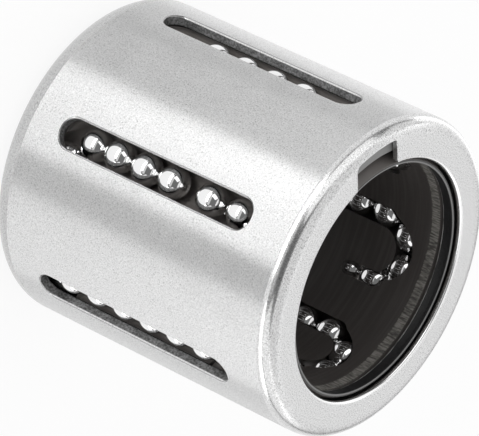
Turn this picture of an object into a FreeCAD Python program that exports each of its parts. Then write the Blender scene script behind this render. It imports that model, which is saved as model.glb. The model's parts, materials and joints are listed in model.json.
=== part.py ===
"""Linear ball bearing with a thin drawn sleeve, six closed ball circuits and two lip seals.

The shaft runs along Z. The rear face lies in the plane Z = 0 and the notched front face is on top.
Each circuit is built once, with its return row at azimuth 0, and is then turned to its place.
"""
import math
import os

import FreeCAD
import Part

# Overall sizes, in millimetres
SHAFT_DIAMETER = 20.0
LENGTH = 30.0

# Balls and their circuits
CIRCUITS = 6
FIRST_SLOT_AZIMUTH = -90.0
BALL_DIAMETER = 2.778
BALL_PLAY = 0.02           # between a loaded ball and the shaft
BALL_SPACING = 0.07        # between neighbouring balls in a row
STROKE = 0.75              # how far a row rolls each way from rest
TURN_MARGIN = 7.8          # end face to the centre of a turn
RETURN_LEAD = 0.5          # last ball of a return row beyond the centre of a turn
RETURN_DEPTH = 1.10        # sleeve's inner wall to the middle of a return ball
DIVE_RISE = 0.19           # last return ball above the loaded row's pitch radius
TURN_RISE = 0.11           # middle of a turn above the loaded row's pitch radius
RETURN_BREAKS = (4, 6, 2, 1, 3, None)   # balls behind the loose gap of each return row
HIGH_CIRCUIT = 2           # circuit whose outermost return balls have not dived yet

# Drawn sleeve
SLEEVE_WALL = 0.85
RACEWAY_WALL = 1.172       # sleeve's outside to a raceway land
RACEWAY_GAP = 0.03         # between a loaded ball and its raceway land
RACEWAY_WIDTH = 2.0
RACEWAY_LEAD = 0.2         # end of a raceway land beyond the centre of a turn
FLANGE_THICKNESS = 0.6
FLANGE_CLEARANCE = 0.56    # flange edge to the shaft
FRONT_CORNER = 1.3
REAR_CORNER = 2.0
SLOT_WIDTH = 2.65
SLOT_MARGIN = 4.95         # end face to the end of a slot
NOTCH_WIDTH = 5.0
NOTCH_AZIMUTH = -135.0
NOTCH_DEPTH = 2.29         # flange edge to the bottom of the notch
NOTCH_CORNER = 0.4
SEAM_AZIMUTH = 7.5         # seam line of the turned surfaces, clear of the slots and raceways

# Moulded cage
CAGE_GAP = 0.10            # between the cage and the sleeve's inner wall
CAGE_BORE_CLEARANCE = 0.25
CAGE_MARGIN = 1.95         # end face to the end of the cage
CHANNEL_CLEARANCE = 0.12   # between a ball and its channel

# Lip seals
SEAL_GAP = 0.05            # to the flange and to the cage
SEAL_RADIAL_GAP = 0.20     # to the sleeve's inner wall
SEAL_PLATE = 0.35
COLLAR_WIDTH = 1.45
COLLAR_RELIEF = 0.7        # chamfer of the collar as a share of the sleeve's inner corner
LIP_GAP = 0.05             # lip to the shaft
LIP_SETBACK = 0.5          # lip below the end face
LIP_TIP = 0.27
LIP_LAND = 0.3
LIP_TAPER = 0.15           # how far the lip's inside opens towards the cage
LIP_FOOT = 0.65            # thickness of the lip at its foot
LIP_UNDERCUT = 0.35

# Radii worked out from the shaft outwards
SHAFT_R = SHAFT_DIAMETER / 2
BALL_R = BALL_DIAMETER / 2
LOADED_R = SHAFT_R + BALL_PLAY + BALL_R
RACEWAY_R = LOADED_R + BALL_R + RACEWAY_GAP
OUTER_R = RACEWAY_R + RACEWAY_WALL
INNER_R = OUTER_R - SLEEVE_WALL
RETURN_R = INNER_R - RETURN_DEPTH
DIVE_R = LOADED_R + DIVE_RISE
FLANGE_R = SHAFT_R + FLANGE_CLEARANCE
CAGE_OUTER_R = INNER_R - CAGE_GAP
CAGE_BORE_R = SHAFT_R + CAGE_BORE_CLEARANCE
CHANNEL_R = BALL_R + CHANNEL_CLEARANCE
LIP_R = SHAFT_R + LIP_GAP

# Places along the shaft and around it
PITCH = BALL_DIAMETER + BALL_SPACING
CIRCUIT_ANGLE = 360.0 / CIRCUITS
LOADED_AZIMUTH = CIRCUIT_ANGLE / 2
TURN_HEIGHT = LENGTH - TURN_MARGIN
RETURN_MARGIN = TURN_MARGIN - RETURN_LEAD
RACEWAY_MARGIN = TURN_MARGIN - RACEWAY_LEAD
MIDDLE = LENGTH / 2

AXIS = FreeCAD.Vector(0, 0, 1)
ORIGIN = FreeCAD.Vector(0, 0, 0)


def polar(radius, azimuth, height=0.0):
    """A point given by its radius, its azimuth in degrees and its height."""
    angle = math.radians(azimuth)
    return FreeCAD.Vector(radius * math.cos(angle), radius * math.sin(angle), height)


def line(start, end):
    return Part.LineSegment(start, end).toShape()


def arc(start, middle, end):
    return Part.Arc(start, middle, end).toShape()


def polygon(points):
    """Straight edges through the points, in order."""
    return [line(start, end) for start, end in zip(points, points[1:])]


def corner(centre, radius, start_angle, end_angle):
    """A rounded corner in the plane of radius and height, with angles in degrees."""
    points = []
    for angle in (start_angle, (start_angle + end_angle) / 2, end_angle):
        turn = math.radians(angle)
        points.append(centre + FreeCAD.Vector(radius * math.cos(turn), 0, radius * math.sin(turn)))
    return arc(*points)


def revolve_face(edges, angle=360.0):
    return Part.Face(Part.Wire(edges)).revolve(ORIGIN, AXIS, angle)


def mirrored(shape):
    """The same shape at the bearing's other end."""
    return shape.mirror(FreeCAD.Vector(0, 0, MIDDLE), AXIS)


def turned(shape, azimuth):
    copy = shape.copy()
    copy.rotate(ORIGIN, AXIS, azimuth)
    return copy


def slot_prism(half_width, low, high, inner, outer):
    """A round-ended prism that runs outwards along X. Low and high are its very ends."""
    bottom = low + half_width
    top = high - half_width
    corners = [FreeCAD.Vector(inner, side, height)
               for side, height in ((-half_width, bottom), (-half_width, top),
                                    (half_width, top), (half_width, bottom))]
    outline = [
        line(corners[0], corners[1]),
        arc(corners[1], FreeCAD.Vector(inner, 0, high), corners[2]),
        line(corners[2], corners[3]),
        arc(corners[3], FreeCAD.Vector(inner, 0, low), corners[0]),
    ]
    return Part.Face(Part.Wire(outline)).extrude(FreeCAD.Vector(outer - inner, 0, 0))


def ring(outer, inner, low, high):
    base = FreeCAD.Vector(0, 0, low)
    return Part.makeCylinder(outer, high - low, base).cut(Part.makeCylinder(inner, high - low, base))


# Outer sleeve


def sleeve_shell():
    """Thin wall with both ends turned in. The flange edges are fully round."""
    edge_r = FLANGE_THICKNESS / 2
    front_inner = FRONT_CORNER - SLEEVE_WALL
    rear_inner = REAR_CORNER - SLEEVE_WALL

    def at(radius, height):
        return FreeCAD.Vector(radius, 0, height)

    rear_shelf = FLANGE_THICKNESS
    front_shelf = LENGTH - FLANGE_THICKNESS
    section = [
        line(at(FLANGE_R + edge_r, 0), at(OUTER_R - REAR_CORNER, 0)),
        corner(at(OUTER_R - REAR_CORNER, REAR_CORNER), REAR_CORNER, -90, 0),
        line(at(OUTER_R, REAR_CORNER), at(OUTER_R, LENGTH - FRONT_CORNER)),
        corner(at(OUTER_R - FRONT_CORNER, LENGTH - FRONT_CORNER), FRONT_CORNER, 0, 90),
        line(at(OUTER_R - FRONT_CORNER, LENGTH), at(FLANGE_R + edge_r, LENGTH)),
        corner(at(FLANGE_R + edge_r, LENGTH - edge_r), edge_r, 90, 270),
        line(at(FLANGE_R + edge_r, front_shelf), at(INNER_R - front_inner, front_shelf)),
        corner(at(INNER_R - front_inner, front_shelf - front_inner), front_inner, 90, 0),
        line(at(INNER_R, front_shelf - front_inner), at(INNER_R, rear_shelf + rear_inner)),
        corner(at(INNER_R - rear_inner, rear_shelf + rear_inner), rear_inner, 0, -90),
        line(at(INNER_R - rear_inner, rear_shelf), at(FLANGE_R + edge_r, rear_shelf)),
        corner(at(FLANGE_R + edge_r, edge_r), edge_r, 90, 270),
    ]
    return revolve_face(section)


def raceway_land():
    """Raised land that a loaded row rolls on. It is narrow enough to key into the cage's channel."""
    root = INNER_R + SLEEVE_WALL / 2
    block = slot_prism(RACEWAY_WIDTH / 2, RACEWAY_MARGIN, LENGTH - RACEWAY_MARGIN, LOADED_R, OUTER_R)
    return block.common(ring(root, RACEWAY_R, 0, LENGTH))


def flange_notch():
    """Square notch in the front flange, with a round bottom wall and rounded corners."""
    half = NOTCH_WIDTH / 2
    reach = FLANGE_R + NOTCH_DEPTH
    low = LENGTH - FLANGE_THICKNESS
    block = Part.makeBox(reach, NOTCH_WIDTH, 2 * FLANGE_THICKNESS, FreeCAD.Vector(0, -half, low))
    block = block.common(Part.makeCylinder(reach, 2 * FLANGE_THICKNESS, FreeCAD.Vector(0, 0, low)))
    far = [edge for edge in block.Edges
           if abs(edge.CenterOfMass.z - LENGTH) < 1e-6 and edge.CenterOfMass.x > SHAFT_R]
    return block.makeFillet(NOTCH_CORNER, far)


def outer_sleeve():
    window = slot_prism(SLOT_WIDTH / 2, SLOT_MARGIN, LENGTH - SLOT_MARGIN, RACEWAY_R, 2 * OUTER_R)
    lands = []
    windows = []
    for index in range(CIRCUITS):
        azimuth = slot_azimuth(index)
        lands.append(turned(raceway_land(), azimuth + LOADED_AZIMUTH))
        windows.append(turned(window, azimuth))
    sleeve = turned(sleeve_shell(), SEAM_AZIMUTH).fuse(lands)
    return sleeve.cut(windows + [turned(flange_notch(), NOTCH_AZIMUTH)]).removeSplitter()


# Ball circuits


def slot_azimuth(index):
    return FIRST_SLOT_AZIMUTH + index * CIRCUIT_ANGLE


class Turn:
    """Half circle that carries the balls from the loaded row to the return row at the front end.

    Its plane leans outwards a little, so that the middle of the turn clears the shaft.
    """

    def __init__(self):
        loaded = polar(LOADED_R, LOADED_AZIMUTH)
        returning = polar(DIVE_R, 0)
        chord = loaded - returning
        self.radius = chord.Length / 2
        self.across = chord.normalize()
        outward = self.across.cross(AXIS)
        self.centre = (loaded + returning) / 2
        apex = LOADED_R + TURN_RISE
        offset = self.centre.dot(self.across)
        lean = math.sqrt(apex ** 2 - offset ** 2) - self.centre.dot(outward)
        self.lean = math.asin(lean / self.radius)
        self.up = AXIS * math.cos(self.lean) + outward * math.sin(self.lean)
        self.normal = self.across.cross(self.up)
        self.centre.z = TURN_HEIGHT

    def point(self, angle):
        """Centre of a ball that has rolled through this many radians from the loaded side."""
        return self.centre + (self.across * math.cos(angle) + self.up * math.sin(angle)) * self.radius


TURN = Turn()


def loaded_heights():
    """Balls of a loaded row, spread about the middle of the bearing."""
    count = int((LENGTH - 2 * TURN_MARGIN) / PITCH) + 1
    return [MIDDLE + (index - (count - 1) / 2) * PITCH for index in range(count)]


def return_heights(behind_gap):
    """Balls of a return row. Its play is one loose gap, or is shared out evenly if that is None."""
    run = LENGTH - 2 * RETURN_MARGIN
    count = int(run / PITCH) + 1
    play = run - (count - 1) * PITCH
    heights = []
    for index in range(count):
        share = index / (count - 1) if behind_gap is None else int(index >= behind_gap)
        heights.append(RETURN_MARGIN + index * PITCH + share * play)
    return heights


def turn_angles():
    """Balls of a turn, spread evenly between the last loaded ball and the last return ball."""
    before = (TURN_HEIGHT - loaded_heights()[-1]) / TURN.radius
    after = -RETURN_LEAD / TURN.radius
    sweep = before + math.pi + after
    needed = 2 * math.asin(PITCH / 2 / TURN.radius)
    count = int(sweep / needed) - 1
    return [(index + 1) * sweep / (count + 1) - before for index in range(count)]


def ball(centre):
    return Part.makeSphere(BALL_R, centre)


def loaded_row():
    return Part.makeCompound([ball(polar(LOADED_R, LOADED_AZIMUTH, height)) for height in loaded_heights()])


def return_row(behind_gap, end_radius):
    """The first and last balls have a radius of their own, as the channel dives to the turns there."""
    heights = return_heights(behind_gap)
    radii = [end_radius] + [RETURN_R] * (len(heights) - 2) + [end_radius]
    return Part.makeCompound([ball(polar(radius, 0, height)) for radius, height in zip(radii, heights)])


def front_turn():
    return Part.makeCompound([ball(TURN.point(angle)) for angle in turn_angles()])


# Ball cage


def row_channel(radius, low, high):
    """Groove along Z that is open outwards, round at the bottom and round at both ends.

    Radius, low and high give the line that the middle of a ball follows.
    """
    def at(reach, side):
        return FreeCAD.Vector(reach, side, 0)

    slant = CHANNEL_R / math.sqrt(2)
    bottom = radius - CHANNEL_R
    groove = [
        arc(at(radius, -CHANNEL_R), at(bottom, 0), at(radius, CHANNEL_R)),
        *polygon([at(radius, CHANNEL_R), at(OUTER_R, CHANNEL_R), at(OUTER_R, -CHANNEL_R),
                  at(radius, -CHANNEL_R)]),
    ]
    half = [
        arc(at(bottom, 0), at(radius - slant, slant), at(radius, CHANNEL_R)),
        *polygon([at(radius, CHANNEL_R), at(OUTER_R, CHANNEL_R), at(OUTER_R, 0), at(bottom, 0)]),
    ]
    run = Part.Face(Part.Wire(groove)).extrude(FreeCAD.Vector(0, 0, high - low))
    end = Part.Face(Part.Wire(half)).revolve(ORIGIN, FreeCAD.Vector(1, 0, 0), 360)
    run.translate(FreeCAD.Vector(0, 0, low))
    ends = []
    for height in (low, high):
        copy = end.copy()
        copy.translate(FreeCAD.Vector(0, 0, height))
        ends.append(copy)
    return run.fuse(ends)


def turn_channel():
    """The same groove carried round the front turn."""
    def at(reach, rise):
        return TURN.across * reach + TURN.normal * rise

    inside = TURN.radius - CHANNEL_R
    outside = TURN.radius + CHANNEL_R
    height = OUTER_R - LOADED_R
    groove = [
        arc(at(inside, 0), at(TURN.radius, -CHANNEL_R), at(outside, 0)),
        *polygon([at(outside, 0), at(outside, height), at(inside, height), at(inside, 0)]),
    ]
    channel = Part.Face(Part.Wire(groove)).revolve(ORIGIN, TURN.normal, 180)
    channel.translate(TURN.centre)
    return channel


def circuit_channels():
    """Everything that one circuit takes out of the cage."""
    loaded = loaded_heights()
    loaded_channel = row_channel(LOADED_R, loaded[0] - STROKE, loaded[-1] + STROKE)
    inset = RETURN_MARGIN + PITCH - STROKE
    return_channel = row_channel(RETURN_R, inset, LENGTH - inset)
    dive_channel = row_channel(DIVE_R, LENGTH - inset, LENGTH - RETURN_MARGIN + STROKE)
    front = turn_channel()
    return [turned(loaded_channel, LOADED_AZIMUTH), return_channel, dive_channel,
            mirrored(dive_channel), front, mirrored(front)]


def ball_cage():
    tube = ring(CAGE_OUTER_R, CAGE_BORE_R, CAGE_MARGIN, LENGTH - CAGE_MARGIN)
    channels = circuit_channels()
    for index in range(CIRCUITS):
        tube = tube.cut([turned(channel, slot_azimuth(index)) for channel in channels])
    return tube.removeSplitter()


# Lip seals


def lip_seal(sleeve_corner):
    """Front seal: a collar against the sleeve, a plate on the cage and a thin lip on the shaft."""
    foot = LENGTH - CAGE_MARGIN + SEAL_GAP
    plate = foot + SEAL_PLATE
    top = LENGTH - FLANGE_THICKNESS - SEAL_GAP
    tip = LENGTH - LIP_SETBACK
    outer = INNER_R - SEAL_RADIAL_GAP
    inner = outer - COLLAR_WIDTH
    chamfer = COLLAR_RELIEF * (sleeve_corner - SLEEVE_WALL)
    root = LIP_R + LIP_TAPER
    neck = root + LIP_UNDERCUT
    points = [
        (neck, foot), (outer, foot), (outer, top - chamfer), (outer - chamfer, top), (inner, top),
        (inner, plate), (root + LIP_FOOT, plate), (LIP_R + LIP_TIP, tip), (LIP_R, tip),
        (LIP_R, tip - LIP_LAND), (root, plate - SEAL_GAP), (neck, plate - SEAL_GAP), (neck, foot),
    ]
    return revolve_face(polygon([FreeCAD.Vector(radius, 0, height) for radius, height in points]))


def all_nodes():
    nodes = {
        "outer_sleeve": outer_sleeve(),
        "ball_cage": ball_cage(),
        "front_seal": lip_seal(FRONT_CORNER),
        "rear_seal": mirrored(lip_seal(REAR_CORNER)),
    }
    turn = front_turn()
    for index in range(CIRCUITS):
        end_radius = RETURN_R if index + 1 == HIGH_CIRCUIT else DIVE_R
        rows = {
            "loaded_row": loaded_row(),
            "front_turn": turn,
            "return_row": return_row(RETURN_BREAKS[index], end_radius),
            "rear_turn": mirrored(turn),
        }
        for name, row in rows.items():
            nodes["circuit_%d_%s" % (index + 1, name)] = turned(row, slot_azimuth(index))
    return nodes


os.makedirs("parts", exist_ok=True)
for node_name, node_shape in all_nodes().items():
    node_shape.exportStep("parts/%s.step" % node_name)
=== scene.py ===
"""Looks of a linear ball bearing: ground sleeve, polished balls, moulded cage and lip seals.

Sizes are in millimetres, and are turned to metres where a mesh, material, lamp or camera takes them.
The shaft runs along Z, the rear face stands on the floor at Z = 0 and the notched front face is on
top.
"""

import json
import math

import bpy
import numpy as np
from mathutils import Matrix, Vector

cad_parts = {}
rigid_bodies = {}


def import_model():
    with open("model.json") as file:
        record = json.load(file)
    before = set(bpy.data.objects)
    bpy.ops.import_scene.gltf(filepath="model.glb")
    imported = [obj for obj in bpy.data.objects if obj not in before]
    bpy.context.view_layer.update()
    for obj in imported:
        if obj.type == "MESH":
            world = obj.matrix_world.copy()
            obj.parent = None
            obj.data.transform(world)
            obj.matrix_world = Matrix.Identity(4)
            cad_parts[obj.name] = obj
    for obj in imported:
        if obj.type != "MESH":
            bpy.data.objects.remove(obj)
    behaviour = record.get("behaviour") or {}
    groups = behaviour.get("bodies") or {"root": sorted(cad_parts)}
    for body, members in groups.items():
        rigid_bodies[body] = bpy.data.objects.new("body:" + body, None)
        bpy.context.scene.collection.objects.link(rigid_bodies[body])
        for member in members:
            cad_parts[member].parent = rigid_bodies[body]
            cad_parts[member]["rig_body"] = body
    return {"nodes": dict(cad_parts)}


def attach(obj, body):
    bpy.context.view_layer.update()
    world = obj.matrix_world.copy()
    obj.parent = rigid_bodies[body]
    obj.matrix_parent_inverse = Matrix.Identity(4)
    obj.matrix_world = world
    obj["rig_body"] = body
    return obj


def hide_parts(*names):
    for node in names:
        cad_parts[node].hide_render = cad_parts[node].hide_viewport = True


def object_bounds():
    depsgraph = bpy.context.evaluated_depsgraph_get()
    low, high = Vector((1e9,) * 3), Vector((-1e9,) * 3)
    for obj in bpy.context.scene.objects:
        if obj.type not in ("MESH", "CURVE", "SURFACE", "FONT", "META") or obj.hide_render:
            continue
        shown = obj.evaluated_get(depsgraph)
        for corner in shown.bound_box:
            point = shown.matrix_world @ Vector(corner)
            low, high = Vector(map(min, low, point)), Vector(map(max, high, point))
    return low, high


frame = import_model()
cad_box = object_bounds()

MM = 0.001

# Sleeve
LENGTH = (cad_box[1].z - cad_box[0].z) / MM
OUTER_R = (cad_box[1].y - cad_box[0].y) / 2 / MM
WALL = 0.85
INNER_R = OUTER_R - WALL
RACEWAY_WALL = 1.172          # wall at a raceway land, where the loaded balls run
RACEWAY_R = OUTER_R - RACEWAY_WALL
RACEWAY_HALF_WIDTH = 1.0
RACEWAY_MARGIN = 7.6          # from the sleeve's end to the land
RACEWAY_STEP = 0.12           # width of the step at the land's edge
FLANGE_R = 10.56
FLANGE_THICKNESS = 0.6
FLANGE_ROUND = 2.4            # 2 is a full round, and more is squarer
EDGE_FLAT = 1e-4              # leaves a hair of flat between the two sides of a rounded edge
FRONT_CORNER = 1.3
REAR_CORNER = 2.0
SLOT_HALF_WIDTH = 1.325
SLOT_MARGIN = 4.95            # from the sleeve's end to the slot's end
SLOT_COUNT = 6
FIRST_SLOT_AZIMUTH = -90.0
SLOT_EDGE = 0.17              # broken outer edge of a slot along its sides
SLOT_END_EDGE = 0.35          # share of it that is left at the slot's round ends
SLOT_INNER_EDGE = 0.06
NOTCH_AZIMUTH = -135.0
NOTCH_HALF_WIDTH = 2.5
NOTCH_BOTTOM_R = 12.85
NOTCH_CORNER = 0.4
NOTCH_MOUTH = 0.45            # rounding where the notch opens into the bore
NOTCH_EDGE = 0.12             # broken edge of the notch
SECTOR = math.radians(360.0 / SLOT_COUNT)

# Section of a slot's broken edge, as shares of its size inwards and down
SLOT_EDGE_SECTION = ((0.12, 0.03), (0.2, 0.1), (0.9, 0.8), (0.97, 0.88), (1, 1))

# Balls
BALL_R = 1.389

# Cage and lip seals
CAGE_BORE_R = 10.25
CAGE_MARGIN = 1.95            # from the sleeve's end to the cage
SEAL_GAP = 0.05
SEAL_CLEARANCE = 0.20
SEAL_OUTER_R = INNER_R - SEAL_CLEARANCE
SEAL_PLATE = 0.35
COLLAR_WIDTH = 1.45
COLLAR_RELIEF = 0.7           # chamfer of the collar as a share of the sleeve's inner corner
LIP_R = 10.05
LIP_SETBACK = 0.5             # from the sleeve's end to the lip's tip
LIP_TIP = 0.27                # width of the tip
LIP_LAND = 0.3                # height of the straight inner face below the tip
LIP_TAPER = 0.15              # how much further out the inner face is at the root
LIP_FOOT = 0.65               # width at the root
LIP_UNDERCUT = 0.35           # from the root out to the seal's bore
SEAL_ROUNDING = 0.08
ROUNDING_SHARE = 0.35         # share of the shorter side that a rounding may take

# Mesh density
SIDE_STEPS = 26               # along the straight side of a slot
FAN_SIDE_STEPS = 8            # from a slot's end to the corner of its sector
FAN_END_STEPS = 72            # across the end of a sector
NOTCH_STEPS = (6, 5, 6, 4, 6)  # half notch: bottom, corner, wall, mouth and flange edge beside it
OUTER_ROWS = 16               # over the outside, from a sector's outline to its slot
OUTER_CROWDING = 1.5          # above 1, those rows crowd towards the slot
WALL_ROWS = (1.5, 2.0)        # rows in a slot's wall, in edge sizes from the outside and from the inside
INNER_EDGE_DEGREES = (0, 30, 60)                         # rows round a slot's inner edge
INNER_SHARES = (0, 0.02, 0.08, 0.2, 0.35, 0.5, 0.64)     # rows over the inside up to the land
LAND_SHIFTS = (0.3, 0.06, 0.02, -0.02, -0.06, -0.3)      # rows beside the land's edge
CORNER_CUT = math.radians(50)  # turn of a corner that is laid out as an arc
CORNER_ROWS = 10              # along that arc
FACE_ROWS = 9                 # from there to the flange's rounded edge
EDGE_ROWS = 8                 # over half of that edge
INNER_CORNER_ROWS = 6         # along the inner corner's arc
BALL_STEPS = 20
SEAL_STEPS = 288
SEAL_CORNER_STEPS = 5
MARK_SLACK = 1e-9             # puts a point that is on a mark into the stretch before it
MERGE_SIZE = 2e-5             # points that round to the same multiple of this are one
SHARP_DEGREES = 40.0          # an edge that turns more than this stays sharp
CAGE_SHARP_DEGREES = 30.0
FACET_SAG = 0.004             # the middle of a flat facet lies up to this far under the round

# Materials
NOISE_LOW = 0.3               # nearly all of a noise lies between this and the next value
NOISE_HIGH = 0.7
NOISE_MIDDLE = 0.5
GRAIN_DEPTH = 0.02
CORNER_BLEND = 0.04           # half the width of the border between the wall and a turned-in end

# Camera
CAMERA_ELEVATION = math.radians(32.26977)
CAMERA_AZIMUTH = math.radians(0.3)   # turn of the whole view about the shaft
CAMERA_ROLL = math.radians(-115.46085)
CAMERA_YAW = 0.00023242       # radians, as the pitch is
CAMERA_PITCH = 0.00093732
CAMERA_DISTANCE = 373.877
CAMERA_LENS = 341.2
SENSOR_WIDTH = 36
CLIP_START = 10

# Floor and light
FLOOR_RINGS = (0.01, 30.0, 100.0, 400.0, 3000.0)
FLOOR_STEPS = 64
PAPER_WHITE = 0.85            # share of the paper that is plain white to the eye, and the rest is shaded
SKY_STRENGTH = 0.16

# Lamps: azimuth and elevation in degrees, distance, width, height, power in watts and outline
LAMPS = {
    "front_strip": (-10, 0, 135, 154, 28, 0.085, "RECTANGLE"),
    "right_strip": (73, 0, 135, 160, 28, 0.035, "RECTANGLE"),
    "left_strip": (-142, 4.7, 135, 120, 50, 0.019, "RECTANGLE"),
    "left_panel": (-50, 34, 64, 68, 38, 0.0092, "RECTANGLE"),
    "left_fill": (-118, 26, 350, 240, 240, 0.13, "RECTANGLE"),
    "right_panel": (93, 26, 350, 690, 250, 0.52, "RECTANGLE"),
    "top_panel": (180, 80, 400, 900, 640, 1.0, "ELLIPSE"),
    "back_panel": (180, 30, 450, 800, 300, 0.61, "RECTANGLE"),
    "front_fill": (0, 15, 400, 600, 120, 0.11, "RECTANGLE"),
}


def linear(hex_colour):
    """sRGB hex to linear RGBA."""
    parts = np.array([int(hex_colour[i:i + 2], 16) for i in (1, 3, 5)]) / 255
    low = parts / 12.92
    high = ((parts + 0.055) / 1.055) ** 2.4
    return (*np.where(parts <= 0.04045, low, high), 1.0)


# Meshes


def grid_quads(rows, columns, closed=True):
    """Quads of a grid whose points run row by row: a point, the next in its row, and the two beyond.

    A closed grid joins its last column to its first.
    """
    row = np.arange(rows - 1)[:, None] * columns
    column = np.arange(columns if closed else columns - 1)[None, :]
    after = (column + 1) % columns
    corners = [row + column, row + after, row + columns + after, row + columns + column]
    return np.stack(corners, -1).reshape(-1, 4)


def polar(radius, azimuth, height):
    """Points r cos a, r sin a, h of a radius, an azimuth in radians and a height, for whole arrays."""
    radius, azimuth, height = np.broadcast_arrays(radius, azimuth, height)
    return np.stack([radius * np.cos(azimuth), radius * np.sin(azimuth), height], -1)


def turned_plan(x, y, turn):
    """A plan turned about the shaft's axis: x cos t - y sin t, and x sin t + y cos t."""
    return x * math.cos(turn) - y * math.sin(turn), x * math.sin(turn) + y * math.cos(turn)


def turned(points, turn):
    """Points turned about the shaft's axis, with their heights as they are."""
    x, y, height = np.moveaxis(points, -1, 0)
    return np.stack([*turned_plan(x, y, turn), height], -1)


def surface(points, flipped=False):
    """A surface from an array of rows by columns by 3 that closes on itself along its rows."""
    rows, columns = points.shape[:2]
    quads = grid_quads(rows, columns)
    return points.reshape(-1, 3), quads[:, ::-1] if flipped else quads


def joined(surfaces):
    """Several surfaces as one, with points that coincide made one point."""
    points, faces = zip(*surfaces)
    offsets = np.cumsum([0] + [len(run) for run in points])
    points = np.concatenate(points)
    faces = np.concatenate([run + offset for run, offset in zip(faces, offsets)])
    keys = np.round(points / MERGE_SIZE).astype(np.int64)
    first, where = np.unique(keys, axis=0, return_index=True, return_inverse=True)[1:]
    return points[first], where.reshape(-1)[faces]


def make_piece(name, shape, material, sharp_degrees=SHARP_DEGREES):
    """A smooth mesh object from points in millimetres and faces of equal corner count."""
    points, faces = shape
    mesh = bpy.data.meshes.new(name)
    corners = faces.shape[1]
    mesh.vertices.add(len(points))
    mesh.vertices.foreach_set("co", (points * MM).astype(np.float32).ravel())
    mesh.loops.add(faces.size)
    mesh.loops.foreach_set("vertex_index", faces.astype(np.int32).ravel())
    mesh.polygons.add(len(faces))
    mesh.polygons.foreach_set("loop_start", np.arange(0, faces.size, corners, dtype=np.int32))
    mesh.update(calc_edges=True)
    mesh.validate()
    mesh.shade_smooth()
    mesh.set_sharp_from_angle(angle=math.radians(sharp_degrees))
    mesh.materials.append(material)
    piece = bpy.data.objects.new(name, mesh)
    bpy.context.scene.collection.objects.link(piece)
    return piece


def stand_for(piece, node):
    """The piece is shown in place of a CAD node, on that node's body."""
    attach(piece, frame["nodes"][node]["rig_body"])
    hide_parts(node)


# Sleeve


def sector_outline():
    """Outline of one slot's sector of the sleeve, as azimuths and heights, anticlockwise from outside.

    It goes up one side, across the front, down the other side and across the rear. A side has even
    steps beside the slot's straight stretch, and even steps from there to its corners, where fans run
    out from the slot's round ends.
    """
    half = SECTOR / 2
    low = SLOT_MARGIN + SLOT_HALF_WIDTH
    marks = [REAR_CORNER, low, LENGTH - low, LENGTH - FRONT_CORNER]

    def climb(heights):
        """Even steps from each height to the next, without the last height."""
        runs = zip(heights, heights[1:], (FAN_SIDE_STEPS, SIDE_STEPS, FAN_SIDE_STEPS))
        return np.concatenate([np.linspace(*run, endpoint=False) for run in runs])

    up = climb(marks)
    down = climb(marks[::-1])
    across = np.linspace(half, -half, FAN_END_STEPS, endpoint=False)
    azimuth = np.concatenate([np.full(len(up), half), across, np.full(len(down), -half), -across])
    front = np.full(len(across), marks[-1])
    rear = np.full(len(across), marks[0])
    return azimuth, np.concatenate([up, front, down, rear])


def raceway_rise(azimuth, height):
    """How far the raceway land stands in from the sleeve's inner wall.

    Its edge is a step of 3 s^2 - 2 s^3, where s goes from 0 to 1 across the outline of the land.
    """
    across = INNER_R * (SECTOR / 2 - np.abs(azimuth))
    reach = LENGTH / 2 - RACEWAY_MARGIN - RACEWAY_HALF_WIDTH
    along = np.maximum(np.abs(height - LENGTH / 2) - reach, 0)
    step = np.clip((RACEWAY_HALF_WIDTH - np.hypot(across, along)) / RACEWAY_STEP + 0.5, 0, 1)
    return (INNER_R - RACEWAY_R) * step * step * (3 - 2 * step)


def slot_sector():
    """One sector of the sleeve with its slot, as one strip carried round the slot.

    The strip runs over the outside to the slot, round the broken edge, through the wall and out over
    the inside. A point of the slot's outline lies half a slot's width from the slot's middle line,
    towards the matching point of the sector's outline.
    """
    azimuth, height = sector_outline()
    reach = LENGTH / 2 - SLOT_MARGIN - SLOT_HALF_WIDTH
    middle = np.clip(height, LENGTH / 2 - reach, LENGTH / 2 + reach)
    across = OUTER_R * azimuth
    along = height - middle
    length = np.hypot(across, along)
    edge = SLOT_EDGE * (SLOT_END_EDGE + (1 - SLOT_END_EDGE) * np.abs(across) / length)

    def outline(offset, radius):
        """The slot's outline, widened by an offset, on a cylinder: arcsin(width / radius), and height."""
        size = SLOT_HALF_WIDTH + offset
        return np.arcsin(size * across / length / radius), middle + size * along / length

    def edge_row(offset, radius):
        """One row of points on the slot's outline."""
        angle, level = outline(offset, radius)
        return polar(radius, angle, level)[None]

    def skin(offset, radius, shares, rise):
        """Rows at shares of the way from the slot's outline to the sector's, set in by their rise."""
        start_azimuth, start_height = outline(offset, radius)
        share = np.array(shares)[:, None]
        angle = start_azimuth + (azimuth - start_azimuth) * share
        level = start_height + (height - start_height) * share
        return polar(radius - rise(angle, level), angle, level)

    outer_shares = (np.arange(OUTER_ROWS, -1, -1) / OUTER_ROWS) ** OUTER_CROWDING
    rows = [skin(edge, OUTER_R, outer_shares, lambda angle, level: 0 * level)]
    for in_share, down_share in SLOT_EDGE_SECTION:
        rows.append(edge_row(edge * (1 - in_share), OUTER_R - edge * down_share))
    rows.append(edge_row(0, OUTER_R - WALL_ROWS[0] * SLOT_EDGE))
    rows.append(edge_row(0, INNER_R + WALL_ROWS[1] * SLOT_INNER_EDGE))
    for turn in np.radians(INNER_EDGE_DEGREES):
        widening = SLOT_INNER_EDGE * (1 - math.cos(turn))
        rows.append(edge_row(widening, INNER_R + SLOT_INNER_EDGE * (1 - math.sin(turn))))
    span = INNER_R * SECTOR / 2 - SLOT_HALF_WIDTH
    land_shares = [1 - (RACEWAY_HALF_WIDTH + shift) / span for shift in LAND_SHIFTS]
    rows.append(skin(SLOT_INNER_EDGE, INNER_R, [*INNER_SHARES, *land_shares, 1], raceway_rise))
    return np.concatenate(rows)


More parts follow.
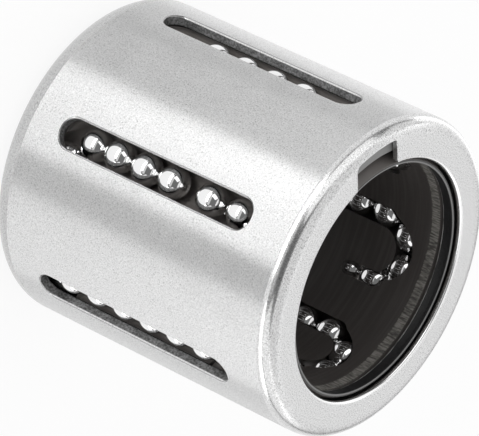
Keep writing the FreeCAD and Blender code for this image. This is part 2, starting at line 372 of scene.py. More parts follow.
def end_azimuths():
    """Azimuths of the points where the sectors meet the turned-in ends, in even steps all the way round."""
    start = math.radians(FIRST_SLOT_AZIMUTH) - SECTOR / 2
    return start + np.arange(SLOT_COUNT * FAN_END_STEPS) * SECTOR / FAN_END_STEPS


def plain_edge(azimuth):
    """Plan of the rear flange's inner edge: a circle. Returns x and y for each azimuth."""
    return FLANGE_R * np.cos(azimuth), FLANGE_R * np.sin(azimuth)


def notched_edge(azimuth):
    """Plan of the front flange's inner edge: a circle with one square notch that has rounded corners.

    Half of the notch is laid out as bottom arc, corner arc, wall, mouth and a stretch of the circle,
    and each gets a set number of columns. The mouth is the curve A (1 - t)^2 + 2 C t (1 - t) + B t^2
    from the wall to the circle. Returns x and y for each azimuth.
    """
    wall = NOTCH_HALF_WIDTH
    inset = wall - NOTCH_CORNER
    corner_x = math.sqrt((NOTCH_BOTTOM_R - NOTCH_CORNER) ** 2 - inset ** 2)
    tangent = math.atan2(inset, corner_x)
    mouth = math.asin(wall / FLANGE_R)
    meeting = FLANGE_R * math.cos(mouth)
    wall_end = meeting + NOTCH_MOUTH
    beside = mouth + NOTCH_MOUTH / FLANGE_R
    step = SECTOR / FAN_END_STEPS
    limit = step * sum(NOTCH_STEPS)
    marks = np.concatenate([[0], np.cumsum(NOTCH_STEPS)]) * step
    offset = azimuth - math.radians(NOTCH_AZIMUTH)
    offset = (offset + math.pi) % (2 * math.pi) - math.pi
    place = np.abs(offset)
    share = [np.clip((place - low) / (high - low), 0, 1) for low, high in zip(marks, marks[1:])]
    bottom = tangent * share[0]
    turn = tangent + (math.pi / 2 - tangent) * share[1]
    bend = share[3]
    circle = beside + (limit - beside) * share[4]
    stretches = [
        (NOTCH_BOTTOM_R * np.cos(bottom), NOTCH_BOTTOM_R * np.sin(bottom)),
        (corner_x + NOTCH_CORNER * np.cos(turn), inset + NOTCH_CORNER * np.sin(turn)),
        (corner_x + (wall_end - corner_x) * share[2], np.full_like(place, wall)),
        (wall_end * (1 - bend) ** 2 + 2 * meeting * bend * (1 - bend)
         + FLANGE_R * math.cos(beside) * bend ** 2,
         wall * (1 - bend ** 2) + FLANGE_R * math.sin(beside) * bend ** 2),
        (FLANGE_R * np.cos(circle), FLANGE_R * np.sin(circle)),
        (FLANGE_R * np.cos(place), FLANGE_R * np.sin(place)),
    ]
    which = np.searchsorted(marks[1:], place - MARK_SLACK)
    x = np.choose(which, [stretch[0] for stretch in stretches])
    y = np.choose(which, [stretch[1] for stretch in stretches]) * np.sign(offset)
    return turned_plan(x, y, math.radians(NOTCH_AZIMUTH))


def round_over(distance, size, power):
    """How far a rounded edge lies below its flat: s (1 - (1 - (1 - d / s)^p)^(1/p)) at a distance d < s."""
    share = 1 - np.clip(distance / size, 0, 1)
    return size * (1 - np.maximum(1 - share ** power, EDGE_FLAT) ** (1 / power))


def notch_distance(x, y):
    """Distance in plan from the notch, which is a round-cornered box in radius and width."""
    ahead, aside = turned_plan(x, y, -math.radians(NOTCH_AZIMUTH))
    width = np.abs(aside) - NOTCH_HALF_WIDTH + NOTCH_CORNER
    depth = np.hypot(x, y) - NOTCH_BOTTOM_R + NOTCH_CORNER
    away = np.hypot(np.maximum(width, 0), np.maximum(depth, 0)) - NOTCH_CORNER
    return np.where(ahead > 0, away, NOTCH_BOTTOM_R)


def flange_half_height(x, y, notched):
    """Half thickness of the flange, which is rounded at its inner edge and has the notch's edge broken."""
    edge = FLANGE_THICKNESS / 2
    fall = round_over(np.hypot(x, y) - FLANGE_R, edge, FLANGE_ROUND)
    if notched:
        fall = np.maximum(fall, round_over(notch_distance(x, y), NOTCH_EDGE, 2))
    return edge - fall


def turned_in_end(corner, edge_plan, notched):
    """A turned-in end of the sleeve, with its own end face at height 0 and the sleeve above it.

    Rows run from the outside round the corner, over the end face to the edge given in plan, back
    along the inside of the flange and up the inner wall. The steep part of a corner is an arc in even
    turns. From there rows lie at shares of the way to the edge, and a corner of radius c lifts them by
    c - sqrt(c^2 - p^2) at a distance p past its start.
    """
    azimuth = end_azimuths()
    inner_corner = corner - WALL
    edge = FLANGE_THICKNESS / 2
    outer_circle = OUTER_R - corner + corner * math.cos(CORNER_CUT)
    inner_circle = INNER_R - inner_corner * (1 - math.cos(CORNER_CUT))
    edge_x, edge_y = edge_plan(azimuth)

    def face_row(share, circle, corner_start, radius, side):
        """Points at a share of the way from a circle to the edge, on one side of the flange."""
        x = circle * np.cos(azimuth) * (1 - share) + edge_x * share
        y = circle * np.sin(azimuth) * (1 - share) + edge_y * share
        past = np.maximum(np.hypot(x, y) - corner_start, 0)
        lift = radius - np.sqrt(radius ** 2 - past ** 2)
        return np.stack([x, y, edge + side * flange_half_height(x, y, notched) + lift], -1)

    round_share = 1 - edge / (outer_circle - FLANGE_R)
    rounded = round_share + (1 - round_share) * np.sin(np.linspace(0, math.pi / 2, EDGE_ROWS))
    shares = np.concatenate([np.linspace(0, round_share, FACE_ROWS, endpoint=False), rounded])
    rows = []
    for turn in np.linspace(0, CORNER_CUT, CORNER_ROWS, endpoint=False):
        rows.append(polar(OUTER_R - corner + corner * math.cos(turn), azimuth,
                          corner - corner * math.sin(turn)))
    for share in shares:
        rows.append(face_row(share, outer_circle, OUTER_R - corner, corner, -1))
    for share in shares[::-1]:
        rows.append(face_row(share, inner_circle, INNER_R - inner_corner, inner_corner, 1))
    for turn in np.linspace(CORNER_CUT, 0, INNER_CORNER_ROWS)[1:]:
        rows.append(polar(INNER_R - inner_corner * (1 - math.cos(turn)), azimuth,
                          FLANGE_THICKNESS + inner_corner * (1 - math.sin(turn))))
    rows.append(polar(INNER_R, azimuth, corner))
    return np.stack(rows)


def sleeve_shape():
    """The sleeve: one sector turned to each slot's azimuth, and the two ends.

    The front end's heights count down from the sleeve's length.
    """
    sector = slot_sector()
    first = math.radians(FIRST_SLOT_AZIMUTH)
    sectors = [surface(turned(sector, first + index * SECTOR)) for index in range(SLOT_COUNT)]
    rear = turned_in_end(REAR_CORNER, plain_edge, False)
    front = turned_in_end(FRONT_CORNER, notched_edge, True)
    front[..., 2] = LENGTH - front[..., 2]
    return joined([*sectors, surface(rear, flipped=True), surface(front)])


# Cage, seals and balls


def cad_copy(node):
    """A CAD node's triangles in millimetres, with coinciding corners made one point.

    A triangle that loses a corner by that is left out.
    """
    mesh = frame["nodes"][node].data
    points = np.empty(len(mesh.vertices) * 3, np.float32)
    mesh.vertices.foreach_get("co", points)
    mesh.calc_loop_triangles()
    corners = np.empty(len(mesh.loop_triangles) * 3, np.int32)
    mesh.loop_triangles.foreach_get("vertices", corners)
    points, faces = joined([(points.reshape(-1, 3).astype(float) / MM, corners.reshape(-1, 3))])
    whole = (faces != np.roll(faces, 1, axis=1)).all(axis=1)
    return points, faces[whole]


def ball():
    """A ball from a cube's six square grids: each point tan u, tan v, 1 is pushed out to the radius."""
    side = np.tan(np.linspace(-math.pi / 4, math.pi / 4, BALL_STEPS + 1))
    u, v = np.meshgrid(side, side, indexing="ij")
    face = np.stack([u, v, np.ones_like(u)], -1).reshape(-1, 3)
    face *= BALL_R / np.linalg.norm(face, axis=1, keepdims=True)
    quads = grid_quads(BALL_STEPS + 1, BALL_STEPS + 1, closed=False)[:, ::-1]
    spins = [Matrix.Rotation(math.pi / 2 * n, 3, "X") for n in range(4)]
    spins += [Matrix.Rotation(math.pi / 2 * n, 3, "Y") for n in (1, 3)]
    return joined([(face @ np.array(spin).T, quads) for spin in spins])


def ball_centres(node):
    """Middles of the boxes round a ball node's balls.

    Every triangle passes on its lowest label to its corners until each ball has one label.
    """
    points, triangles = cad_copy(node)
    labels = np.arange(len(points))
    settled = False
    while not settled:
        lowest = labels[triangles].min(axis=1, keepdims=True)
        settled = bool((labels[triangles] == lowest).all())
        np.minimum.at(labels, triangles, np.broadcast_to(lowest, triangles.shape))
    balls = [points[labels == label] for label in np.unique(labels)]
    return [(run.min(axis=0) + run.max(axis=0)) / 2 for run in balls]


def seal_shape(sleeve_corner):
    """A lip seal at the front end: a section of radii and heights carried round the shaft.

    A corner C of the section is rounded as C + A (1 - t)^2 + B t^2, where A and B are short steps
    from it along its two sides.
    """
    foot = LENGTH - CAGE_MARGIN + SEAL_GAP
    plate = foot + SEAL_PLATE
    top = LENGTH - FLANGE_THICKNESS - SEAL_GAP
    tip = LENGTH - LIP_SETBACK
    outer = SEAL_OUTER_R
    inner = outer - COLLAR_WIDTH
    chamfer = COLLAR_RELIEF * (sleeve_corner - WALL)
    root = LIP_R + LIP_TAPER
    neck = root + LIP_UNDERCUT
    section = np.array([
        (neck, foot), (outer, foot), (outer, top - chamfer), (outer - chamfer, top), (inner, top),
        (inner, plate), (root + LIP_FOOT, plate), (LIP_R + LIP_TIP, tip), (LIP_R, tip),
        (LIP_R, tip - LIP_LAND), (root, plate - SEAL_GAP), (neck, plate - SEAL_GAP),
    ])
    before = np.roll(section, 1, axis=0) - section
    after = np.roll(section, -1, axis=0) - section
    near = np.minimum(np.linalg.norm(before, axis=1), np.linalg.norm(after, axis=1))
    size = np.minimum(SEAL_ROUNDING, ROUNDING_SHARE * near)[:, None]
    before *= size / np.linalg.norm(before, axis=1, keepdims=True)
    after *= size / np.linalg.norm(after, axis=1, keepdims=True)
    share = np.linspace(0, 1, SEAL_CORNER_STEPS)[None, :, None]
    rounded = section[:, None] + before[:, None] * (1 - share) ** 2 + after[:, None] * share ** 2
    rounded = rounded.reshape(-1, 2)
    azimuth = np.linspace(0, 2 * math.pi, SEAL_STEPS, endpoint=False)
    rows = polar(rounded[:, :1], azimuth[None], rounded[:, 1:])
    return np.concatenate([rows, rows[:1]])


# Materials


def add(tree, kind, inputs=None, stops=(), **settings):
    """Adds a node with its links, its settings and, for a colour ramp, its stops of place and colour.

    An input takes a value, or the node and output that feed it. Sockets go by name, or by number where
    names repeat: a mix of colours has them at inputs 6 and 7, and its result at output 2.
    """
    node = tree.nodes.new(kind)
    for name, value in settings.items():
        setattr(node, name, value)
    for name, value in (inputs or {}).items():
        if isinstance(value, tuple) and isinstance(value[0], bpy.types.Node):
            tree.links.new(value[0].outputs[value[1]], node.inputs[name])
        else:
            node.inputs[name].default_value = value
    for index, (position, colour) in enumerate(stops):
        ramp = node.color_ramp.elements
        stop = ramp[index] if index < len(ramp) else ramp.new(position)
        stop.position = position
        stop.color = linear(colour)
    return node


def new_material(name):
    """A material with an empty node tree."""
    material = bpy.data.materials.new(name)
    material.use_nodes = True
    material.node_tree.nodes.clear()
    return material, material.node_tree


def zones(tree, fades):
    """Outputs that place a point on the bearing, and one that goes from 0 to 1 for each named zone.

    A point has its radius from the shaft's axis, its height, and its rise above or below mid-height.
    A zone is given by one of these, the value where it starts and the value where it is full.
    """
    place = add(tree, "ShaderNodeTexCoord")
    flat = add(tree, "ShaderNodeVectorMath", {0: (place, "Object"), 1: (1.0, 1.0, 0.0)},
               operation="MULTIPLY")
    radius = add(tree, "ShaderNodeVectorMath", {0: (flat, "Vector")}, operation="LENGTH")
    height = add(tree, "ShaderNodeSeparateXYZ", {"Vector": (place, "Object")})
    offset = add(tree, "ShaderNodeMath", {0: (height, "Z"), 1: LENGTH / 2 * MM}, operation="SUBTRACT")
    rise = add(tree, "ShaderNodeMath", {0: (offset, 0)}, operation="ABSOLUTE")
    found = {"place": (place, "Object"), "radius": (radius, "Value"), "height": (height, "Z"),
             "rise": (rise, 0)}
    for name, (measure, start, full) in fades.items():
        fade = add(tree, "ShaderNodeMapRange", {
            "Value": found[measure], "From Min": start * MM, "From Max": full * MM})
        found[name] = (fade, "Result")
    return found


def steel_grain(tree, place):
    """Fine noise of ground or tumbled steel.

    Real grit marks of 0.02 mm are too fine to show, so they are drawn coarser.
    """
    grain_mm = 0.10
    return add(tree, "ShaderNodeTexNoise", {
        "Vector": place, "Scale": 1 / (grain_mm * MM), "Detail": 1.0, "Roughness": 0.6})


def steel_tone(tree, grain):
    """Pale steel with small darker specks."""
    return add(tree, "ShaderNodeValToRGB", {"Fac": grain},
               stops=((0.27, "#a4a4a4"), (0.36, "#cbcbcb"), (0.70, "#e9e9e9")))


def steel_gloss(tree, place, low, high):
    """Roughness that drifts over the surface in clouds of about 2 mm, as handling leaves it."""
    cloud_mm = 2.2
    cloud = add(tree, "ShaderNodeTexNoise", {
        "Vector": place, "Scale": 1 / (cloud_mm * MM), "Detail": 2.0})
    return add(tree, "ShaderNodeMapRange", {
        "Value": (cloud, "Fac"), "From Min": NOISE_LOW, "From Max": NOISE_HIGH,
        "To Min": low, "To Max": high})


def ground_bearing_steel():
    """Through-hardened bearing steel, centreless ground: the outside of the sleeve.

    Grinding leaves a fine even grain round the sleeve: a pale satin metal whose highlights stretch
    along the shaft, with small dark specks.
    """
    material, tree = new_material("ground_bearing_steel")
    coordinates = add(tree, "ShaderNodeTexCoord")
    place = (coordinates, "Object")
    grain = steel_grain(tree, place)
    tone = steel_tone(tree, (grain, "Fac"))
    gloss = steel_gloss(tree, place, low=0.36, high=0.40)
    bump = add(tree, "ShaderNodeBump", {
        "Height": (grain, "Fac"), "Strength": 0.15, "Distance": GRAIN_DEPTH * MM})
    around = add(tree, "ShaderNodeTangent", direction_type="RADIAL", axis="Z")
    steel = add(tree, "ShaderNodeBsdfPrincipled", {
        "Base Color": (tone, "Color"), "Roughness": (gloss, "Result"), "Normal": (bump, "Normal"),
        "Tangent": (around, "Tangent"), "Metallic": 1.0, "Anisotropic": 1.0, "Anisotropic Rotation": 0.25})
    add(tree, "ShaderNodeOutputMaterial", {"Surface": (steel, "BSDF")})
    return material


def formed_bearing_steel():
    """The same steel where it was punched and turned in, then tumbled: ends, slots and the inside.

    Tumbling leaves the rounded ends and the slots' edges smooth, with crisp streaks, and the flange a
    little rougher and speckled. The flange's inner edge is burnished smoother, and a bright line painted
    round it is a painted highlight. The rear corner is painted a darker grey, as painted shade. The
    walls of the slots are torn by the punch, so they are rough with tear marks, and they are painted
    darker, partly as painted shade inside the slots. A fine dark line painted round the slots' edges is
    painted shade.
    """
    material, tree = new_material("formed_bearing_steel")
    front_start = LENGTH - FRONT_CORNER
    slot_end = LENGTH / 2 - SLOT_MARGIN
    zone = zones(tree, {
        "front": ("height", front_start - CORNER_BLEND, front_start + CORNER_BLEND),
        "rear": ("height", REAR_CORNER + CORNER_BLEND, REAR_CORNER - CORNER_BLEND),
        "turned_in": ("radius", OUTER_R - 0.3, OUTER_R - 0.9),
        "slotted": ("rise", slot_end + 2.45, slot_end + 1.45),
        "slot_ends": ("rise", slot_end - 1.15, slot_end - 0.55),
        "edge_top": ("radius", OUTER_R - 0.07, OUTER_R - 0.05),
        # Painted highlight: the flange's inner edge is painted white, and it is also smoother
        "burnished_highlight": ("radius", FLANGE_R + 0.24, FLANGE_R + 0.15),
    })
    tumbled = add(tree, "ShaderNodeMath", {0: zone["front"], 1: zone["rear"]}, operation="MAXIMUM")
    faced = add(tree, "ShaderNodeMath", {0: (tumbled, 0), 1: zone["turned_in"]}, operation="MULTIPLY")
    grain = steel_grain(tree, zone["place"])
    middled = add(tree, "ShaderNodeMath", {0: (grain, "Fac"), 1: NOISE_MIDDLE}, operation="SUBTRACT")
    face_contrast = 1.5
    contrast = add(tree, "ShaderNodeMapRange", {
        "Value": (faced, 0), "To Min": 1.0, "To Max": face_contrast})
    speckle = add(tree, "ShaderNodeMath", {0: (middled, 0), 1: (contrast, "Result"), 2: NOISE_MIDDLE},
                  operation="MULTIPLY_ADD")
    tone = steel_tone(tree, (speckle, 0))
    # The broken edge is smaller at a slot's round ends, so the torn wall starts higher there
    end_rise = 0.1
    torn_start = OUTER_R - 0.9 * SLOT_EDGE
    torn_full = OUTER_R - 1.1 * SLOT_EDGE
    sunk = add(tree, "ShaderNodeMath", {0: zone["slot_ends"], 1: -end_rise * MM, 2: zone["radius"]},
               operation="MULTIPLY_ADD")
    deep = add(tree, "ShaderNodeMapRange", {
        "Value": (sunk, 0), "From Min": torn_start * MM, "From Max": torn_full * MM})
    punched = add(tree, "ShaderNodeMath", {0: (deep, 0), 1: zone["slotted"]}, operation="MULTIPLY")
    # Painted shade: a thin dark line is painted round the slots' outer edges
    painted_shade_line = add(tree, "ShaderNodeMath", {0: zone["edge_top"], 1: zone["slotted"]}, operation="MULTIPLY")
    # Real tear marks of about 0.05 mm are too fine to show, so they are drawn coarser
    tear_mm = 0.18
    tear = add(tree, "ShaderNodeTexNoise", {
        "Vector": zone["place"], "Scale": 1 / (tear_mm * MM), "Detail": 2.0})
    # The tear marks are the wall's own, and their darker tones are partly painted shade inside the slots
    torn_and_shaded = add(tree, "ShaderNodeValToRGB", {"Fac": (tear, "Fac")},
               stops=((0.35, "#646464"), (0.65, "#a0a0a0")))
    # Painted shade: the rear corner is painted a darker grey
    rear_shade_amount = 0.3
    painted_rear_shade = add(tree, "ShaderNodeMapRange", {"Value": zone["rear"], "To Min": 0.0, "To Max": rear_shade_amount})
    colour = (tone, "Color")
    finishes = (((painted_rear_shade, 0), linear("#8c8c8c")), ((punched, 0), (torn_and_shaded, "Color")),
                ((painted_shade_line, 0), linear("#a4a4a4")), (zone["burnished_highlight"], linear("#ffffff")))
    for share, finish in finishes:
        layer = add(tree, "ShaderNodeMix", {0: share, 6: colour, 7: finish}, data_type="RGBA")
        colour = (layer, 2)
    gloss = steel_gloss(tree, zone["place"], low=0.19, high=0.23)
    rough = (gloss, "Result")
    for share, change in (((faced, 0), 0.12), ((punched, 0), 0.35), (zone["burnished_highlight"], -0.15)):
        layer = add(tree, "ShaderNodeMath", {0: share, 1: change, 2: rough}, operation="MULTIPLY_ADD")
        rough = (layer, 0)
    bump = add(tree, "ShaderNodeBump", {
        "Height": (grain, "Fac"), "Strength": 0.15, "Distance": GRAIN_DEPTH * MM})
    steel = add(tree, "ShaderNodeBsdfPrincipled", {
        "Base Color": colour, "Roughness": rough, "Normal": (bump, "Normal"), "Metallic": 1.0})
    add(tree, "ShaderNodeOutputMaterial", {"Surface": (steel, "BSDF")})
    return material


def polished_ball_steel():
    """Chromium steel balls, lapped to a mirror: nearly all light comes from reflections.

    A film of oil, in patches of about half a millimetre, dulls them very slightly.
    """
    material, tree = new_material("polished_ball_steel")
    place = add(tree, "ShaderNodeTexCoord")
    smear_mm = 0.6
    smear = add(tree, "ShaderNodeTexNoise", {
        "Vector": (place, "Object"), "Scale": 1 / (smear_mm * MM), "Detail": 2.0})
    gloss = add(tree, "ShaderNodeMapRange", {
        "Value": (smear, "Fac"), "From Min": NOISE_LOW, "From Max": NOISE_HIGH,
        "To Min": 0.03, "To Max": 0.06})
    steel = add(tree, "ShaderNodeBsdfPrincipled", {
        "Base Color": linear("#f2f2f2"), "Roughness": (gloss, "Result"), "Metallic": 1.0})
    add(tree, "ShaderNodeOutputMaterial", {"Surface": (steel, "BSDF")})
    return material


def moulded_acetal():
    """Black acetal, injection moulded: a deep black with a slight waxy sheen and a fine mould grain.

    The bore shows faint rings from the mould's core, and a rough grey band at each end where the core
    was spark eroded, with a ragged edge and short ticks along the shaft. The channels are painted a
    paler grey: painted light that lifts the shade deep inside them.
    """
    material, tree = new_material("moulded_black_acetal")
    cage_end = LENGTH / 2 - CAGE_MARGIN
    band_start = cage_end - 0.67
    band_full = cage_end - 0.59
    band_roughness = 0.3
    zone = zones(tree, {
        "bore": ("radius", CAGE_BORE_R + 0.10, CAGE_BORE_R + 0.03),
        "outside": ("radius", INNER_R - 0.5, INNER_R - 0.25),
    })
    # Real grain, ticks and rings of 0.05 to 0.1 mm are too fine to show, so they are drawn coarser
    grain_mm = 0.25
    tick_mm = 0.16
    tick_stretch = (1.0, 1.0, 0.2)      # five times as long along the shaft
    ring_mm = 0.3
    ring_stretch = (0.04, 0.04, 1.0)    # 25 times as long round the bore
    ragged_mm = 0.35
    grain = add(tree, "ShaderNodeTexNoise", {
        "Vector": zone["place"], "Scale": 1 / (grain_mm * MM), "Detail": 3.0})
    along = add(tree, "ShaderNodeVectorMath", {0: zone["place"], 1: tick_stretch}, operation="MULTIPLY")
    ticks = add(tree, "ShaderNodeTexNoise", {
        "Vector": (along, "Vector"), "Scale": 1 / (tick_mm * MM), "Detail": 2.0})
    around = add(tree, "ShaderNodeVectorMath", {0: zone["place"], 1: ring_stretch}, operation="MULTIPLY")
    rings = add(tree, "ShaderNodeTexNoise", {
        "Vector": (around, "Vector"), "Scale": 1 / (ring_mm * MM), "Detail": 2.0})
    ragged = add(tree, "ShaderNodeMath", {0: (grain, "Fac"), 1: ragged_mm * MM, 2: zone["rise"]},
                 operation="MULTIPLY_ADD")
    end = add(tree, "ShaderNodeMapRange", {
        "Value": (ragged, 0), "From Min": band_start * MM, "From Max": band_full * MM})
    band = add(tree, "ShaderNodeMath", {0: (end, 0), 1: zone["bore"]}, operation="MULTIPLY")
    black = add(tree, "ShaderNodeValToRGB", {"Fac": (rings, "Fac")},
                stops=((0.45, "#4c4846"), (0.70, "#575351")))
    grey = add(tree, "ShaderNodeValToRGB", {"Fac": (ticks, "Fac")},
               stops=((0.35, "#54524f"), (0.65, "#98958f")))
    # Painted light: the channels, all but the bore and the outside, are a paler grey against their shade
    colour = linear("#726e6b")
    finishes = ((zone["outside"], linear("#4c4947")), (zone["bore"], (black, "Color")),
                ((band, 0), (grey, "Color")))
    for share, finish in finishes:
        layer = add(tree, "ShaderNodeMix", {0: share, 6: colour, 7: finish}, data_type="RGBA")
        colour = (layer, 2)
    gloss = add(tree, "ShaderNodeMapRange", {
        "Value": (grain, "Fac"), "From Min": NOISE_LOW, "From Max": NOISE_HIGH,
        "To Min": 0.34, "To Max": 0.46})
    rough = add(tree, "ShaderNodeMath", {0: (band, 0), 1: band_roughness, 2: (gloss, "Result")},
                operation="MULTIPLY_ADD")
    bump = add(tree, "ShaderNodeBump", {
        "Height": (grain, "Fac"), "Strength": 0.2, "Distance": GRAIN_DEPTH * MM})
    acetal = add(tree, "ShaderNodeBsdfPrincipled", {
        "Base Color": colour, "Roughness": (rough, 0), "Normal": (bump, "Normal"), "IOR": 1.48})
    add(tree, "ShaderNodeOutputMaterial", {"Surface": (acetal, "BSDF")})
    return material


def nitrile_rubber():
    """Black nitrile rubber, moulded: a soft dark grey sheen and a faint dusty grain.

    The tip of the lip is painted a paler grey, a painted highlight along its rim. The flat of the
    collar under the flange is a mid grey. The lip's flank is painted a paler grey, painted light that
    lifts the shade in the narrow gap under the flange and in the notch. A thin pale line painted round
    the root of the lip is a painted glint, broken into patches of about a millimetre.
    """
    material, tree = new_material("moulded_nitrile_rubber")
    tip = LENGTH / 2 - LIP_SETBACK
    flat = LENGTH / 2 - FLANGE_THICKNESS - SEAL_GAP
    root = LENGTH / 2 - CAGE_MARGIN + SEAL_PLATE
    collar_r = SEAL_OUTER_R - COLLAR_WIDTH
    flank_r = LIP_R + LIP_TIP
    root_r = LIP_R + LIP_TAPER
    foot_r = root_r + LIP_FOOT
    zone = zones(tree, {
        "rim": ("rise", tip - 0.06, tip - 0.01),
        "lip": ("radius", LIP_R + 0.18, LIP_R + 0.12),
        "top": ("rise", flat - 0.12, flat - 0.06),
        "ring": ("radius", collar_r - 0.02, collar_r),
        "past_tip": ("radius", flank_r - 0.05, flank_r),
        "before_foot": ("radius", foot_r, foot_r - 0.1),
        "over_root": ("rise", root - 0.05, root - 0.03),
        "under_root": ("rise", root + 0.10, root + 0.08),
        "inside": ("radius", root_r + 0.04, root_r + 0.02),
    })
    # Real grain of about 0.05 mm is too fine to show, so it is drawn coarser
    grain_mm = 0.2
    patch_mm = 1.2
    grain = add(tree, "ShaderNodeTexNoise", {
        "Vector": zone["place"], "Scale": 1 / (grain_mm * MM), "Detail": 2.0})
    patches = add(tree, "ShaderNodeTexNoise", {
        "Vector": zone["place"], "Scale": 1 / (patch_mm * MM), "Detail": 2.0})
    tone = add(tree, "ShaderNodeValToRGB", {"Fac": (grain, "Fac")},
               stops=((NOISE_LOW, "#1b1b1c"), (NOISE_HIGH, "#2c2c2d")))
    # Painted highlight: the lip's rim is painted a paler grey
    painted_rim_highlight = add(tree, "ShaderNodeMath", {0: zone["rim"], 1: zone["lip"]}, operation="MULTIPLY")
    # The flat top of the collar under the flange is a mid grey
    collar = add(tree, "ShaderNodeMath", {0: zone["top"], 1: zone["ring"]}, operation="MULTIPLY")
    # Painted light: the lip's flank is painted paler to lift its shade
    painted_light_flank = add(tree, "ShaderNodeMath", {0: zone["past_tip"], 1: zone["before_foot"]}, operation="MULTIPLY")
    line = add(tree, "ShaderNodeMath", {0: zone["over_root"], 1: zone["under_root"]}, operation="MULTIPLY")
    shown = add(tree, "ShaderNodeMath", {0: (line, 0), 1: zone["inside"]}, operation="MULTIPLY")
    broken = add(tree, "ShaderNodeMapRange", {"Value": (patches, "Fac"), "From Min": 0.35, "From Max": 0.6})
    # Painted glint: a broken pale line painted round the lip's root
    painted_glint = add(tree, "ShaderNodeMath", {0: (shown, 0), 1: (broken, 0)}, operation="MULTIPLY")
    colour = (tone, "Color")
    finishes = ((collar, "#7e7e7d"), (painted_light_flank, "#6a6663"), (painted_glint, "#f2f2f0"), (painted_rim_highlight, "#7a7a79"))
    for share, finish in finishes:
        layer = add(tree, "ShaderNodeMix", {0: (share, 0), 6: colour, 7: linear(finish)}, data_type="RGBA")
        colour = (layer, 2)
    bump = add(tree, "ShaderNodeBump", {
        "Height": (grain, "Fac"), "Strength": 0.15, "Distance": GRAIN_DEPTH * MM})
    rubber = add(tree, "ShaderNodeBsdfPrincipled", {
        "Base Color": colour, "Normal": (bump, "Normal"), "Roughness": 0.42, "IOR": 1.52})
    add(tree, "ShaderNodeOutputMaterial", {"Surface": (rubber, "BSDF")})
    return material


# Pieces


def wear_formed_steel(mesh, material):
    """Gives the formed steel to each face whose middle isn't on the sleeve's ground outer surface."""
    middles = np.empty(len(mesh.polygons) * 3, np.float32)
    mesh.polygons.foreach_get("center", middles)
    x, y, z = middles.reshape(-1, 3).T.astype(float) / MM
    ground = (np.hypot(x, y) > OUTER_R - FACET_SAG) & (z > REAR_CORNER) & (z < LENGTH - FRONT_CORNER)
    mesh.materials.append(material)
    mesh.polygons.foreach_set("material_index", (~ground).astype(np.int32))


def build_bearing():
    """Makes every piece, each in place of its CAD node. The rear seal is made at the front and mirrored."""
    mirror = polished_ball_steel()
    acetal = moulded_acetal()
    rubber = nitrile_rubber()
    sleeve = make_piece("ground_sleeve", sleeve_shape(), ground_bearing_steel())
    wear_formed_steel(sleeve.data, formed_bearing_steel())
    stand_for(sleeve, "outer_sleeve")
    cage = make_piece("moulded_cage", cad_copy("ball_cage"), acetal, CAGE_SHARP_DEGREES)
    stand_for(cage, "ball_cage")
    front = seal_shape(FRONT_CORNER)
    rear = seal_shape(REAR_CORNER)
    rear[..., 2] = LENGTH - rear[..., 2]
    front_seal = make_piece("front_lip_seal", joined([surface(front)]), rubber)
    stand_for(front_seal, "front_seal")
    rear_seal = make_piece("rear_lip_seal", joined([surface(rear, flipped=True)]), rubber)
    stand_for(rear_seal, "rear_seal")
    points, quads = ball()
    for node in frame["nodes"]:
        if node.startswith("circuit"):
            shape = joined([(points + centre, quads) for centre in ball_centres(node)])
            stand_for(make_piece(node + "_balls", shape, mirror), node)


# Stage


def camera_axes():
    """Right, up and back of the camera as columns, and the way back to it from the bearing's middle.

    The level view is rolled, then aimed by a small yaw and pitch. The whole view's turn about the
    shaft isn't in them.
    """
    back = np.array([0, -math.cos(CAMERA_ELEVATION), math.sin(CAMERA_ELEVATION)])
    right = np.array([1.0, 0, 0])
    level = np.stack([right, np.cross(back, right), back])
    roll = np.array(Matrix.Rotation(CAMERA_ROLL, 3, "Z"))
    yaw = np.array(Matrix.Rotation(CAMERA_YAW, 3, "Y"))
    pitch = np.array(Matrix.Rotation(CAMERA_PITCH, 3, "X"))
    return (pitch @ yaw @ roll @ level).T, back


def place_camera():
    """A long lens at the camera's distance from the bearing's middle."""
    axes, back = camera_axes()
    camera = bpy.data.objects.new("camera", bpy.data.cameras.new("camera"))
    bpy.context.scene.collection.objects.link(camera)
    camera.data.sensor_fit = "HORIZONTAL"
    camera.data.sensor_width = SENSOR_WIDTH
    camera.data.lens = CAMERA_LENS
    camera.data.clip_start = CLIP_START * MM
    matrix = Matrix(axes.tolist()).to_4x4()
    matrix.translation = (np.array([0, 0, LENGTH / 2]) + back * CAMERA_DISTANCE) * MM
    camera.matrix_world = Matrix.Rotation(CAMERA_AZIMUTH, 4, "Z") @ matrix
    bpy.context.scene.camera = camera


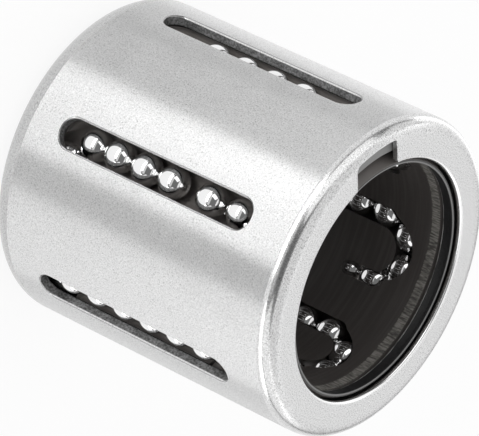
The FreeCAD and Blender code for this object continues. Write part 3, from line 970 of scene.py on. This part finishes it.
def softbox(name, azimuth, elevation, distance, width, height, power, shape):
    """A flat lamp that faces the bearing's middle. Azimuth 0 is the camera's side, positive to its right.

    It lies in the direction cos t cos e, sin t cos e, sin e of its turn about the shaft and elevation.
    """
    data = bpy.data.lights.new(name, "AREA")
    data.shape = shape
    data.size = width * MM
    data.size_y = height * MM
    data.energy = power
    lamp = bpy.data.objects.new(name, data)
    bpy.context.scene.collection.objects.link(lamp)
    turn = math.radians(azimuth - 90) + CAMERA_AZIMUTH
    rise = math.radians(elevation)
    way = np.array([math.cos(turn) * math.cos(rise), math.sin(turn) * math.cos(rise), math.sin(rise)])
    middle = np.array([0, 0, LENGTH / 2])
    lamp.location = (middle + way * distance) * MM
    aim = -lamp.location.copy()
    aim.z += LENGTH / 2 * MM
    lamp.rotation_euler = aim.to_track_quat("-Z", "Y").to_euler()
    lamp.visible_camera = False


def paper_floor():
    """White paper that the bearing stands on, a flat disc of rings.

    To the eye, and in mirrors, most of it is plain white, and the rest takes the bearing's shadow.
    """
    material, tree = new_material("white_paper")
    path = add(tree, "ShaderNodeLightPath")
    direct = add(tree, "ShaderNodeMath", {0: (path, "Is Camera Ray"), 1: (path, "Is Glossy Ray")},
                 operation="MAXIMUM")
    seen = add(tree, "ShaderNodeMath", {0: (direct, 0), 1: (path, "Is Transmission Ray")},
               operation="MAXIMUM")
    share = add(tree, "ShaderNodeMath", {0: (seen, 0), 1: PAPER_WHITE}, operation="MULTIPLY")
    paper = add(tree, "ShaderNodeBsdfDiffuse", {"Color": linear("#ffffff")})
    white = add(tree, "ShaderNodeEmission", {"Color": linear("#ffffff"), "Strength": 1.0})
    mix = add(tree, "ShaderNodeMixShader", {0: (share, 0), 1: (paper, "BSDF"), 2: (white, "Emission")})
    add(tree, "ShaderNodeOutputMaterial", {"Surface": (mix, "Shader")})
    angle = np.linspace(0, 2 * math.pi, FLOOR_STEPS, endpoint=False)
    radius = np.array(FLOOR_RINGS)[:, None]
    floor = make_piece("floor", surface(polar(radius, angle[None], np.zeros((1, 1)))), material)


def light_studio():
    """Soft panels beside, above and behind the bearing, and low strips by the floor.

    The camera's own side has only a strip and a weak fill, so the balls keep something dark to reflect.
    """
    world = bpy.data.worlds.new("studio")
    bpy.context.scene.world = world
    world.use_nodes = True
    tree = world.node_tree
    tree.nodes.clear()
    sky = add(tree, "ShaderNodeBackground", {"Color": linear("#ffffff"), "Strength": SKY_STRENGTH})
    add(tree, "ShaderNodeOutputWorld", {"Surface": (sky, "Background")})
    for name, settings in LAMPS.items():
        softbox(name, *settings)


build_bearing()
paper_floor()
place_camera()
light_studio()
bpy.context.scene.view_settings.view_transform = "Standard"
